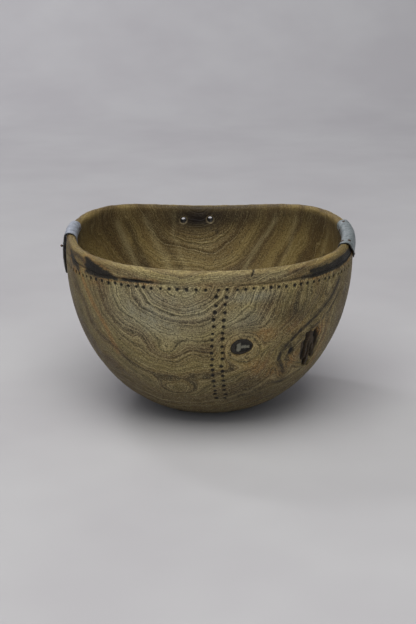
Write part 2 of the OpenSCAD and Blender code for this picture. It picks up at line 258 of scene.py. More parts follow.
def markDepths(points, t, outside):
    # for each point: how deep the marks cut there in mm, and how much dirt and painted shade darken them
    deep = np.zeros(len(points))
    dirt = np.zeros(len(points))
    drop = rimHeight(t) - points[:, 2]
    # incised line, worn away at the middle of the front
    degrees = np.degrees(t) % 360
    kept = 1 - 0.8 * np.exp(-((degrees - 272) / 17) ** 2)
    strong = np.exp(-((degrees - 245) / 8) ** 2)
    wander = 0.5 * np.sin(5 * t + 1) + 0.3 * np.sin(13 * t)
    profile = np.exp(-((drop - marks["lineDrop"] - wander) / (marks["lineWidth"] / 2)) ** 2) * outside
    deep += profile * marks["lineDeep"] * (kept + strong)
    # dirt and painted shade in the incised line
    dirt = np.maximum(dirt, profile * (0.25 * kept + 0.75 * strong))
    # punched dots
    for i in np.where(outside > 0.5)[0]:
        place, k, distance = dotTree.find(Vector(points[i]))
        if distance > 4.5:
            continue
        centre, side, up, radius, depth = dots[k]
        d = points[i] - centre
        r = math.hypot(d @ side, d @ up) / radius
        if r < 1.5:
            pit = max(0.0, 1 - r * r) ** 0.6 if r < 1 else 0.0
            deep[i] += depth * pit + 0.1 * math.exp(-((r - 1) / 0.25) ** 2)
            # dirt and painted shade in each dot
            dirt[i] = max(dirt[i], 1 - float(smooth(0.72, 1.12, np.array(r))))
    # flaws
    for f, (place, _, side, up) in zip(flaws, flawFrames):
        a, b = local(points, place, side, up)
        turn = math.radians(f[4])
        u = (a * math.cos(turn) + b * math.sin(turn)) / f[2]
        v = (-a * math.sin(turn) + b * math.cos(turn)) / f[3]
        close = np.linalg.norm(points - place, axis=1) < 12
        cut = np.exp(-(u ** 4) - v ** 2) * close
        deep += f[5] * cut
        # dirt and painted shade in each flaw
        dirt = np.maximum(dirt, smooth(0.25, 0.75, cut))
    # rotted hollow
    inside, split = np.zeros(len(points)), np.zeros(len(points))
    close = np.where((np.linalg.norm(points - hollowPlace, axis=1) < 42) & (outside > 0.5))[0]
    inside[close], split[close] = hollowShape(points[close])
    deep += inside * marks["hollowSink"] + split * marks["hollowDeep"]
    # the wood is rubbed round where the cord ran
    for hole in cordHoles:
        deep += marks["cordWear"] * (1 - smooth(0.9, 1.55, boreDistance(points, hole) / hole["dims"]["r_mm"]))
    return deep, dirt, inside, split


# knife and adze work leaves soft facets, and years of handling soften and nick the lip, all in mm
carving = {"facetDeep": 0.28, "facetSize": 19, "toolDeep": 0.12, "toolSize": 7,
           "lipDeep": 0.28, "lipSize": 9, "nickDeep": 0.2, "nickSize": 3.5}
# how finely the bowl is divided
grid = {"turns": 336, "footRings": 7, "sideRows": 60, "lipSteps": 14, "innerRows": 44, "floorRings": 5,
        "rimZone": 42}


def bowlRows(t):  # radius and height of every ring, from the foot up the outside and down the inside
    rim = rimHeight(t)
    flat, foot = 0 * t, form["footWidth"] / 2
    rows = [(foot * k / grid["footRings"] + flat, flat) for k in range(1, grid["footRings"] + 1)]
    for k in range(1, grid["sideRows"] + 1):
        z = (rim - grid["rimZone"]) * (k / grid["sideRows"]) ** form["footPower"]
        rows.append((outerRadius(t, z), z))
    lineLow, lineHigh = marks["lineDrop"] + 2.4, marks["lineDrop"] - 2.4
    drops = [*np.linspace(grid["rimZone"], lineLow, 14)[1:], *np.linspace(lineLow, lineHigh, 11)[1:],
             *np.linspace(lineHigh, form["lipRound"], 5)[1:]]
    rows += [(outerRadius(t, rim - drop), rim - drop) for drop in drops]
    outside, inside = rows[-1][0], innerRadius(t, rim - form["lipRound"])
    for k in range(1, grid["lipSteps"]):
        turn = math.pi * k / grid["lipSteps"]
        rows.append(((outside + inside) / 2 + (outside - inside) / 2 * math.cos(turn),
                     rim - form["lipRound"] + form["lipRound"] * math.sin(turn)))
    for drop in np.linspace(form["lipRound"], grid["rimZone"], 16):
        rows.append((innerRadius(t, rim - drop), rim - drop))
    for k in range(grid["innerRows"] - 1, -1, -1):
        high = rim - grid["rimZone"]
        z = form["floor"] + (high - form["floor"]) * (k / grid["innerRows"]) ** form["footPower"]
        rows.append((innerRadius(t, z), z))
    for k in range(grid["floorRings"] - 1, 0, -1):
        rows.append((form["floorWidth"] / 2 * k / grid["floorRings"] + flat, form["floor"] + flat))
    return rows


def bowlGrid():
    count = grid["turns"]
    t = np.linspace(0, 2 * math.pi, count, endpoint=False)
    x, y = plan(t)
    r = reach(t)
    rings = [np.stack([x * radius / r, y * radius / r, z], 1) for radius, z in bowlRows(t)]
    points = np.concatenate(rings + [[[0, 0, 0]], [[0, 0, form["floor"]]]])
    faces = []
    for i in range(len(rings) - 1):
        for j in range(count):
            a, b = i * count + j, i * count + (j + 1) % count
            faces.append((a, b, b + count, a + count))
    last = (len(rings) - 1) * count
    bottom, top = len(points) - 2, len(points) - 1
    faces += [(bottom, (j + 1) % count, j) for j in range(count)]
    faces += [(top, last + j, last + (j + 1) % count) for j in range(count)]
    mesh = bpy.data.meshes.new("bowlWood")
    mesh.from_pydata(points.tolist(), [], faces)
    return mesh


def refine(bm, close, cuts, smallest):  # splits the faces that close() picks, to hold small marks
    faces = [f for f in bm.faces if len(f.verts) == 4 and f.calc_area() > smallest]
    centres = np.array([f.calc_center_median() for f in faces])
    picked = close(centres)
    edges = {e for f, p in zip(faces, picked) if p for e in f.edges}
    bmesh.ops.subdivide_edges(bm, edges=list(edges), cuts=cuts, use_grid_fill=True)


def isOutside(points, t):
    radius = np.hypot(points[:, 0], points[:, 1])
    middle = (outerRadius(t, points[:, 2]) + innerRadius(t, points[:, 2])) / 2
    return ((radius > middle) | (points[:, 2] < form["floor"] - 0.5)).astype(float)


def nearDots(centres):
    return [dotTree.find(Vector(c))[2] < 3.0 for c in centres]


def nearHollow(centres):
    across, rise = local(centres, hollowPlace, hollowSide, hollowUp)
    wide, tall = marks["hollowHalfWide"] + 5, marks["hollowHalfTall"] + 3
    close = np.linalg.norm(centres - hollowPlace, axis=1) < 45
    outside = isOutside(centres, angleOf(centres)) > 0.5
    return ((across / wide) ** 2 + (rise / tall) ** 2 < 1) & close & outside


def nearLargeMarks(centres):
    outside = isOutside(centres, angleOf(centres)) > 0.5
    picked = (np.linalg.norm(centres - knotPlace, axis=1) < 12.5) & outside
    for spot in darkSpots[:1]:
        place = skinPoint(math.radians(spot[0]), spot[1])
        picked |= (np.linalg.norm(centres - place, axis=1) < 8) & outside
    for f, (place, *_) in zip(flaws, flawFrames):
        picked |= (np.linalg.norm(centres - place, axis=1) < f[2] + 2) & outside
    for hole in cordHoles:
        picked |= boreDistance(centres, hole) < 6.5
    return picked


def cutterMesh():  # the ragged knot socket and the two cord holes, as closed prisms
    bm = bmesh.new()

    def prism(outline, along):
        low = [bm.verts.new(Vector((p - along) * mm)) for p in outline]
        high = [bm.verts.new(Vector((p + along) * mm)) for p in outline]
        count = len(outline)
        for k in range(count):
            bm.faces.new((low[k], low[(k + 1) % count], high[(k + 1) % count], high[k]))
        bm.faces.new(low[::-1])
        bm.faces.new(high)

    prism([knotPlace + knotSide * x + knotUp * y for x, y in knotOutline(64, 0)], knotNormal * 22)
    for hole in cordHoles:
        centre, axis = np.array(hole["pos_m"]) / mm, np.array(hole["axis"])
        side = np.array([1.0, 0, 0])
        up = np.cross(side, axis)
        radius = hole["dims"]["r_mm"]
        turns = np.linspace(0, 2 * math.pi, 40, endpoint=False)
        prism([centre + radius * (math.cos(a) * side + math.sin(a) * up) for a in turns], axis * 18)
    bmesh.ops.recalc_face_normals(bm, faces=bm.faces)
    mesh = bpy.data.meshes.new("cutter")
    bm.to_mesh(mesh)
    bm.free()
    return mesh


def knotOutline(count, inset):  # a lopsided oval, wider than tall, in the plane of the skin
    wide = (knotHigh - knotLow).x / mm / 2 * 1.02
    tall = wide * 0.9
    turns = np.linspace(0, 2 * math.pi, count, endpoint=False)
    lump = 1 + 0.035 * np.sin(2 * turns + 0.6) + 0.025 * np.sin(3 * turns + 2) + 0.012 * np.sin(7 * turns)
    return [((wide * k - inset) * math.cos(a), (tall * k - inset) * math.sin(a)) for a, k in zip(turns, lump)]


def vertexValues(mesh, name):  # "co" or "normal" of every vertex
    values = np.zeros(len(mesh.vertices) * 3)
    mesh.vertices.foreach_get(name, values)
    return values.reshape(-1, 3)


def makeBowl():
    mesh = bowlGrid()
    bm = bmesh.new()
    bm.from_mesh(mesh)
    refine(bm, nearDots, 3, 0.9)
    refine(bm, nearHollow, 4, 1.5)
    refine(bm, nearLargeMarks, 2, 1.5)
    bm.to_mesh(mesh)
    bm.free()
    points, normals = vertexValues(mesh, "co"), vertexValues(mesh, "normal")
    t = angleOf(points)
    outside = isOutside(points, t)
    deep = markDepths(points, t, outside)[0]
    carve = carving["facetDeep"] * grainNoise(points, carving["facetSize"], 1)
    carve += carving["toolDeep"] * grainNoise(points, carving["toolSize"], 2)
    carve *= smooth(0, 6, points[:, 2])
    lipWear = carving["lipDeep"] * grainNoise(points, carving["lipSize"], 3)
    lipWear += carving["nickDeep"] * grainNoise(points, carving["nickSize"], 4)
    lipWear *= 1 - smooth(0, 5, rimHeight(t) - points[:, 2])
    points += normals * (carve + lipWear - deep)[:, None]
    points[:, 2] = np.maximum(points[:, 2], 0)
    mesh.vertices.foreach_set("co", (points * mm).ravel())
    mesh.update()
    piece = bpy.data.objects.new("bowlWood", mesh)
    scene.collection.objects.link(piece)
    cutter = bpy.data.objects.new("cutter", cutterMesh())
    scene.collection.objects.link(cutter)
    cut = piece.modifiers.new("cut", "BOOLEAN")
    cut.operation = "DIFFERENCE"
    cut.solver = "MANIFOLD"
    cut.object = cutter
    bpy.context.view_layer.update()
    made = bpy.data.meshes.new_from_object(piece.evaluated_get(bpy.context.evaluated_depsgraph_get()))
    bpy.data.objects.remove(cutter)
    piece.modifiers.clear()
    piece.data = made
    made.name = "bowlWood"
    smoothFaces(made)
    scene.collection.objects.unlink(piece)
    return finishPiece(piece, "bowl_body")


# what the wood shows: growth rings, burns, wear and stains, worked out at each vertex
grain = {
    "pithFront": (-22, 150), "pithBack": (-12, 156), "flatten": 1.04,
    "sway": [(7.5, 78, 5), (3.0, 31, 6)],  # how far the rings wander, over what size, and a seed
    "roundKnot": (96, 1.25, 17), "alongCurl": (118, 1.3, 12),  # first ring, rings per mm, and reach in mm
}
# knots push the rings aside: angle in degrees, height, half width, half height, push in mm
pushes = [[313, 78, 17, 34, -15], [254, 86, 11, 9, -13], [243, 97, 9, 12, 5], [264, 80, 8, 10, 5],
          [256, 43, 21, 14, -21], [276, 118, 14, 20, 5], [100, 95, 20, 30, 6], [15, 120, 22, 26, -9]]
# burnt bands under the lip: angles at the ends, drops of the top edge at both ends and of the bottom edge
# at both ends, and strength
burns = [
    [215.5, 236, 1.0, 11.5, 15.0, 13.6, 1.0],
    [236, 250.5, 10.2, 9.2, 13.0, 11.6, 1.0],
    [200.5, 211.5, 4.0, 12.5, 12.0, 18.0, 0.95],
    [309, 348, 4.5, 3.0, 13.4, 12.4, 1.0],
    [304, 311, 9.0, 8.0, 13.0, 13.0, 0.8],
    [300, 350, 3.0, -3.0, 12.0, 12.0, 0.4],
    [262, 300, 10.3, 9.9, 11.9, 11.7, 0.3],
    [52, 74, 2.0, 8.0, 12.4, 12.4, 0.9],
    [108, 126, 9.0, 4.0, 12.6, 12.4, 0.7],
]
# warm places: angle in degrees, height, half width, half height, strength
warmSpots = [[math.degrees(knotAngle), float(knotCentre.z), 13, 12, 0.75], [291, 99, 12, 7, 0.8],
             [289.5, 68, 12, 9, 0.85], [306.5, 69, 6, 6, 1.0],
             [319, 92, 7, 7, 1.0], [325, 74, 4, 22, 0.7],
             [303, 104, 10, 8, 0.5], [300, 58, 14, 8, 0.55],
             [207, 139, 7, 4, 0.9], [223, 134, 8, 3, 0.6]]
# dark places, the same way; the broad low ones make the outside darker towards the bottom
darkSpots = [[304.4, 78.5, 3.2, 5.0, 1.0], [305.5, 47, 9, 4, 0.85],
             [286, 50, 22, 10, 0.4], [234, 70, 9, 18, 0.4],
             [303, 115, 17, 10, 0.6], [296, 128, 26, 5, 0.4],
             [284, 108, 8, 12, 0.3], [268, 92, 6, 14, 0.25],
             [300, 85, 5, 9, 0.4], [208, 90, 9, 34, 0.45],
             [270, 60, 9, 5, 0.35], [290, 36, 34, 13, 0.55],
             [222, 46, 30, 16, 0.3]]
# grey weathered bloom, with painted light on the lit front and the rim band, and brown patina where hands and
# the floor have rubbed, with painted shade on the sides and low down, the same way
# the spots on the front and along the rim band are painted light as well as grey bloom
bloomAndPaintedLightSpots = [[252, 120, 50, 26, 1.0], [275, 149, 90, 6, 0.3],
              [282, 114, 22, 14, 0.7], [284, 132, 24, 6, 1.0]]
# the spots on the left and right sides and low down are painted shade as well as patina
patinaAndPaintedShadeSpots = [[197, 95, 26, 70, 0.85], [338, 110, 26, 60, 0.8],
               [316, 128, 34, 14, 0.6], [222, 90, 20, 50, 0.35],
               [288, 24, 60, 14, 0.6], [301, 112, 24, 18, 0.7],
               [287, 44, 44, 22, 0.9], [218, 62, 24, 44, 0.7],
               [275, 150, 80, 7, 0.3], [90, 60, 120, 40, 0.5]]
# broad bands on the inside: angle and height along each, half width in mm, strength, below zero if dark
innerBands = [
    [[[138, 150], [129, 108], [124, 80]], 4.5, 0.75],
    [[[133, 150], [127, 129], [123, 103], [119, 80]], 5.5, -1.0],
    [[[120, 143], [111, 104], [107, 80]], 4, 0.6],
    [[[115, 140], [106, 104], [102, 80]], 5, -0.45],
    [[[106, 127], [101, 98], [98, 80]], 2, 0.5],
    [[[58.5, 142], [66, 121], [72, 99], [76, 80]], 3, 0.75],
    [[[62.5, 146], [70, 121], [76, 99], [80, 80]], 4, -0.45],
    [[[47, 150], [50, 118], [55, 90]], 3.5, 0.4],
    [[[35, 150], [40, 120], [46, 90]], 4.5, -0.4],
    [[[22, 146], [26, 120], [31, 90]], 3, 0.4],
]
# the dark curl of grain beside the hollow, its thinner twin, and a warm vein: angle and height along each
curl = [[329, 132], [323.5, 120], [317, 110.5], [310.5, 101.5], [305.5, 94.5], [302, 88], [299.3, 80],
        [299, 72], [302, 64], [305, 56]]
twin = [[331, 122], [325, 111], [319.5, 103], [314, 96], [309, 90], [305.5, 84]]
vein = [[214, 134], [219.5, 118], [223, 108], [226, 98], [228, 86], [229, 74]]


def spotShare(points, spot):
    place, normal, side, up = skinFrame(math.radians(spot[0]), spot[1])
    a, b = local(points, place, side, up)
    r2 = (a / spot[2]) ** 2 + (b / spot[3]) ** 2 + ((points - place) @ normal / 40) ** 2
    return np.exp(-r2)


def lineDistance(points, line):  # how far each point is from a line of places on the skin, up to 20 mm
    line = np.array([skinPoint(math.radians(a), z) for a, z in line])
    best = np.full(len(points), 20.0)
    for a, b in zip(line[:-1], line[1:]):
        share = np.clip((points - a) @ (b - a) / ((b - a) @ (b - a)), 0, 1)
        best = np.minimum(best, np.linalg.norm(points - a - share[:, None] * (b - a), axis=1))
    return best


def spotMark(at, spots):  # the strongest of several spots at each point of the outside
    best = np.zeros(len(at["points"]))
    for spot in spots:
        best = np.maximum(best, spot[4] * spotShare(at["points"], spot) * at["outside"])
    return best


def growthRings(at, knotAway, curlAway):  # distance from the pith, which runs from front to back near the rim
    points, outside = at["points"], at["outside"]
    share = (points[:, 1] + halfDepth) / (2 * halfDepth)
    pithX = grain["pithFront"][0] + (grain["pithBack"][0] - grain["pithFront"][0]) * share
    pithZ = grain["pithFront"][1] + (grain["pithBack"][1] - grain["pithFront"][1]) * share
    ring = np.hypot(points[:, 0] - pithX, (points[:, 2] - pithZ) * grain["flatten"])
    for far, size, seed in grain["sway"]:
        ring += far * grainNoise(points, size, seed)
    for push in pushes:
        ring += push[4] * spotShare(points, push)
    # on the bevelled rim the knife runs with the grain, so the lines lie along it
    ring += at["band"] * (0.4 * ring + 1.5 * at["drop"] + 2.4 * grainNoise(points, 16, 12) - ring)
    # round the knot, and beside the hollow along the dark curl, the grain follows them
    for away, power, (first, perMm, wide) in [
            (knotAway, 4, grain["roundKnot"]), (curlAway, 2, grain["alongCurl"])]:
        ring += np.exp(-(away / wide) ** power) * outside * (first + perMm * away - ring)
    return ring


def calmShare(at):  # how quiet the fine lines are, leaving only broad soft bands
    points, outside = at["points"], at["outside"]
    calm = 1 - outside * (1 - 0.65 * (1 - smooth(220, 238, at["degrees"])) - 0.4 * at["band"])
    under = np.exp(-((points[:, 0] + 8) / 34) ** 2 - ((points[:, 2] - 112) / 26) ** 2) * (points[:, 1] > 60)
    return np.clip(calm - 0.65 * under * (1 - outside), 0, 1)


def innerBandMarks(at):  # pale bands and dark bands on the inside
    z, bands = at["points"][:, 2], {1: np.zeros(len(at["points"])), -1: np.zeros(len(at["points"]))}
    fade = (1 - at["outside"]) * (1 - smooth(140, 152, z)) * smooth(58, 96, z)
    for line, width, strength in innerBands:
        angle = np.interp(z, [p[1] for p in line[::-1]], [p[0] for p in line[::-1]])
        away = np.radians(at["degrees"] - angle) * reach(at["t"]) - 2.5 * grainNoise(at["points"], 14, 13)
        share = abs(strength) * np.exp(-(away / width) ** 2) * fade
        kind = 1 if strength > 0 else -1
        bands[kind] = np.maximum(bands[kind], share)
    return bands[1], bands[-1]


def burnMarks(at):  # the burnt bands with ragged ends, and the scorched wood round them
    points, drop, degrees = at["points"], at["drop"], at["degrees"]
    burn, edge = np.zeros(len(points)), np.zeros(len(points))
    rag = 0.9 * grainNoise(points, 6, 7) + 0.6 * grainNoise(points, 2.5, 8)
    tongue = 2.6 * grainNoise(points * np.array([1, 1, 2.2]), 8, 17)  # the fire licked along in tongues
    for a, b, topA, topB, bottomA, bottomB, strength in burns:
        along = np.clip((degrees - a) / (b - a), 0, 1)
        top = topA + (topB - topA) * along ** 1.6
        bottom = bottomA + (bottomB - bottomA) * along
        ends = smooth(-0.6, 1.4, (degrees - a) * 1.6 + rag + tongue)
        ends = ends * smooth(-0.6, 1.4, (b - degrees) * 1.6 + rag + tongue)
        band = smooth(-0.5, 0.9, drop - top + rag) * smooth(-0.3, 0.7, bottom - drop + rag * 0.5)
        burn = np.maximum(burn, strength * ends * band * at["outside"])
        wideEnds = smooth(-3.5, 0, (degrees - a) * 1.3) * smooth(-3.5, 0, (b - degrees) * 1.3)
        wide = smooth(-2.6, 0.3, drop - top + rag) * smooth(-2.2, 0.3, bottom - drop)
        edge = np.maximum(edge, strength * wideEnds * wide * at["outside"])
    return burn, edge


def rimMarks(at):  # the rubbed lip with a painted highlight along it, and painted shade on the wood just inside the rim
    points, drop, within, outside = at["points"], at["drop"], 1 - at["outside"], at["outside"]
    # the lip is painted lighter: partly rubbed wear, partly a painted highlight along its top edges
    lip = np.exp(-((drop - 3.2) / 2.0) ** 2) * within + 0.45 * (1 - smooth(1.0, 4.0, drop)) * outside
    lip *= (0.75 + 0.35 * grainNoise(points, 14, 9)) * (1 - 0.75 * (points[:, 1] > 60) * within)
    # painted shade on the inside just under the rim, strongest at the back middle
    dim = within * (1 - smooth(8, 34, drop)) * smooth(1.5, 5, drop) * (0.6 + 0.3 * grainNoise(points, 30, 10))
    backMiddle = np.exp(-((points[:, 0] - 4) / 58) ** 4) * (points[:, 1] > 0)
    dimBack = within * backMiddle * (1 - smooth(10, 28, drop)) * smooth(-0.2, 1.0, drop)
    return lip, np.maximum(dim, dimBack)


def cordMarks(at):  # round the cord holes: a stain of old fat, a rubbed edge with a painted highlight, dirt in a crack, and painted shade inside the holes
    points, back = at["points"], (at["points"][:, 1] > 60) * (1 - at["outside"])
    middle = sum(np.array(hole["pos_m"]) for hole in cordHoles) / len(cordHoles) / mm
    stainX, stainZ = (points[:, 0] - middle[0]) / 22, (points[:, 2] - middle[2] + 1) / 10
    stain = np.exp(-(stainX ** 2 + stainZ ** 2)) * back
    crackX, crackZ = points[:, 0] - 7.4, points[:, 2] - 127.5
    dirt = np.exp(-(crackX / 0.6) ** 2 - (crackZ / 2.8) ** 4) * back
    polish = np.zeros(len(points))
    for hole in cordHoles:
        away = boreDistance(points, hole)
        # a light ring at each hole's edge: rubbed wear and a painted highlight
        polish = np.maximum(polish, np.exp(-((away - 3.5) / 0.45) ** 2))
        # painted shade inside the bore of each hole
        dirt = np.maximum(dirt, 0.9 * (1 - smooth(2.6, 3.2, away)))
    return stain, polish, dirt


def paintWood(mesh):
    points = vertexValues(mesh, "co") / mm
    t = angleOf(points)
    at = {"points": points, "t": t, "outside": isOutside(points, t), "drop": rimHeight(t) - points[:, 2],
          "degrees": np.degrees(t) % 360}
    outside = at["outside"]
    at["band"] = (1 - smooth(9, 12.5, at["drop"])) * outside
    knotAway = np.linalg.norm(points - knotPlace, axis=1)
    curlAway = lineDistance(points, curl)
    calm = calmShare(at)
    pale, shade = innerBandMarks(at)
    pale = np.maximum(pale, 0.8 * np.exp(-((knotAway - 11) / 1.6) ** 2) * outside)
    burn, edge = burnMarks(at)
    dirt, rot, split = markDepths(points, t, outside)[1:]
    lip, rimShade = rimMarks(at)
    stain, polish, cordDirtAndShade = cordMarks(at)
    # patina, and painted shade: the outside is painted darker towards the bottom
    patina = np.maximum(spotMark(at, patinaAndPaintedShadeSpots), outside * (1 - smooth(12, 92, points[:, 2])))
    layers = {
        "ring": growthRings(at, knotAway, curlAway), "burn": burn, "dark": spotMark(at, darkSpots),
        "warm": np.maximum(spotMark(at, warmSpots), 0.75 * edge * (1 - burn)),
        "dirt": np.maximum(dirt, cordDirtAndShade), "rot": rot, "split": split, "stain": stain, "polish": polish,
        "lip": lip, "within": 1 - outside, "bloom": spotMark(at, bloomAndPaintedLightSpots), "patina": patina,
        "rimShade": rimShade, "pale": pale, "shade": shade, "calm": calm, "lively": 1 - calm,
        "lineFade": 1 - 0.9 * calm, "fineFade": 1 - 0.6 * calm, "speckFade": 1 - 0.7 * calm,
        # how far off these lines are, 1 at 20 mm
        "curl": curlAway / 20, "twin": lineDistance(points, twin) / 20,
        "vein": lineDistance(points, vein) / 20,
    }
    for name, values in layers.items():
        layer = mesh.attributes.new(name, "FLOAT", "POINT")
        layer.data.foreach_set("value", values.astype(np.float32))


bowlPiece = makeBowl()
paintWood(bowlPiece.data)
bowlPiece.data.calc_loop_triangles()
print("bowl made:", len(bowlPiece.data.loop_triangles), "triangles")


def put(tree, kind, settings=None, inputs=None, out=0):  # adds a node with its settings, values and links
    made = tree.nodes.new("ShaderNode" + kind)
    for name, value in (settings or {}).items():
        if name != "stops":
            setattr(made, name, value)
            continue
        elements = made.color_ramp.elements  # stops are places along a ramp, each with a colour or a grey
        elements.remove(elements[1])
        for k, (place, tone) in enumerate(value):
            element = elements[0] if k == 0 else elements.new(place)
            element.position = place
            element.color = linear(tone) if isinstance(tone, str) else (tone, tone, tone, 1)
    for name, value in (inputs or {}).items():
        if isinstance(value, bpy.types.NodeSocket):
            tree.links.new(value, made.inputs[name])
        else:
            made.inputs[name].default_value = linear(value) if isinstance(value, str) else value
    return made.outputs[out] if made.outputs else None


def newMaterial(name):  # an empty material with the piece's own coordinates in mm, so a scale is 1 / size
    material = bpy.data.materials.new(name)
    material.use_nodes = True
    tree = material.node_tree
    tree.nodes.clear()
    own = put(tree, "TexCoord", out="Object")
    place = put(tree, "VectorMath", {"operation": "SCALE"}, {0: own, "Scale": 1000.0})
    return material, tree, place


def layOver(tree, look, patterns, colour, layers):
    # each layer names a colour of the look and then what its share is multiplied from:
    # a number, a mark on the mesh, or a pattern with the places and heights of a ramp along it
    for name, *factors in layers:
        share = 1.0
        for factor in factors:
            if isinstance(factor, str):
                factor = put(tree, "Attribute", {"attribute_name": factor}, out="Fac")
            elif isinstance(factor, tuple):
                factor = put(tree, "ValToRGB", {"stops": factor[1:]}, {"Fac": patterns[factor[0]]})
            share = put(tree, "Math", {"operation": "MULTIPLY"}, {0: share, 1: factor})
        colour = put(tree, "Mix", {"data_type": "RGBA"}, {0: share, 6: colour, 7: look[name]}, 2)
    return colour


# Olive-brown hardwood, knife-carved, smoked and rubbed with fat for years: a dull wax sheen,
# dark thin growth lines that fade in and out, and a grey weathered bloom with fine dark pores. Painted light
# lies on the lit front, the rim band and the lip; painted shade lies low down, on the sides, just inside the
# rim and in the recesses.
# Patterns are [size in mm, detail, roughness]. Real pores are about 0.2 mm and the finest growth lines
# 0.5 mm apart: both are drawn coarser, so that they show.
woodLook = {
    "dark": "#332c1b", "middle": "#8d7d4a", "light": "#bbae80", "bloom": "#908f7d", "brown": "#654b26",
    "patina": "#49351c", "warm": "#94632a", "burnt": "#0e0c0a", "dirt": "#0d0b09", "rot": "#221c13",
    "rotLight": "#3d2e1a", "stain": "#130a06", "polish": "#9a8a68", "lip": "#94804f", "within": "#6e5833",
    "rimShade": "#2b1e14", "shade": "#3c2e1a",
    "patterns": {"mottle": [26, 4, 0.6], "clouds": [8, 3, 0.6], "pores": [1.1, 2, 0.75],
                 "drift": [4, 1, 0.5]},
    "rings": {"broad": [14.0, 1.0, 0.5], "strong": [3.0, 1.5, 0.55], "fine": [1.2, 2.0, 0.6]},
    "waves": [[17, 1.5, 7.0], [5, 2.0, 1.9], [1.8, 1.0, 0.7]],  # size, detail, push on the rings in mm
    "sheen": [(0.3, 0.5), (0.7, 0.66)], "ior": 1.48, "specular": 0.3,
    "poreRelief": 0.9, "relief": 0.6, "reliefMm": 0.5,
}
fineLines = ("fine", (0.36, 1.0), (0.52, 0.0))
strongLines = ("strong", (0.36, 1.0), (0.44, 0.35), (0.51, 0.0))
fadesOut = ("clouds", (0.4, 1.0), (0.62, 0.2))
fadesIn = ("clouds", (0.36, 0.1), (0.6, 1.0))
woodLayers = [  # from the bottom up
    ("middle", ("broad", (0.38, 0.0), (0.6, 1.0))),
    ("middle", ("mottle", (0.42, 0.0), (0.62, 0.5))),
    # grey bloom, partly painted light on the lit front and the rim band
    ("bloom", "bloom", ("mottle", (0.32, 0.25), (0.6, 0.9))),
    ("within", "within", 0.55),
    # brown patina, partly painted shade on the sides and low down
    ("patina", "patina", 0.8),
    ("warm", "warm", ("clouds", (0.3, 0.35), (0.6, 0.95))),
    ("warm", ("vein", (0.06, 0.75), (0.2, 0.0)), ("fine", (0.38, 0.3), (0.55, 1.0))),
    # painted shade just inside the rim
    ("rimShade", "rimShade", 0.97),
    ("shade", "calm", 0.6, ("broad", (0.4, 1.0), (0.56, 0.0))),
    ("light", "pale", 0.42),
    ("shade", "shade", 0.8),
    ("light", "lively", 0.26, ("strong", (0.56, 0.0), (0.7, 1.0))),
    ("light", "fineFade", 0.4, ("fine", (0.5, 0.0), (0.7, 1.0)), fadesOut),
    ("dark", "fineFade", 0.7, fineLines, fadesOut),
    ("dark", "lineFade", 0.85, strongLines, fadesIn),
    ("dark", ("pores", (0.34, 0.9), (0.47, 0.0))),
    ("light", "speckFade", ("pores", (0.54, 0.0), (0.68, 0.6))),
    # rubbed wear and a painted highlight along the lip
    ("lip", "lip", ("clouds", (0.3, 0.25), (0.6, 0.8))),
    ("rot", ("curl", (0.084, 1.0), (0.22, 0.0)), ("fine", (0.4, 1.0), (0.6, 0.75))),
    ("rot", ("twin", (0.07, 0.8), (0.15, 0.0)), ("fine", (0.4, 1.0), (0.6, 0.75))),
    # the dark places, in the rot colour; the broad low ones only make the outside darker towards the bottom
    ("rot", "dark", 0.85),
    ("burnt", "burn", ("pores", (0.3, 1.0), (0.75, 0.88))),
]
# the hollow's fissures are painted dark: dirt and painted shade
rottenLayers = [("dirt", "split"), ("dirt", ("pores", (0.4, 0.7), (0.6, 0.0)))]
# the stain, the rubbed edge with its painted highlight, and dirt with painted shade in the recesses
stainLayers = [("stain", "stain"), ("polish", "polish", 0.5), ("dirt", "dirt", 0.95)]


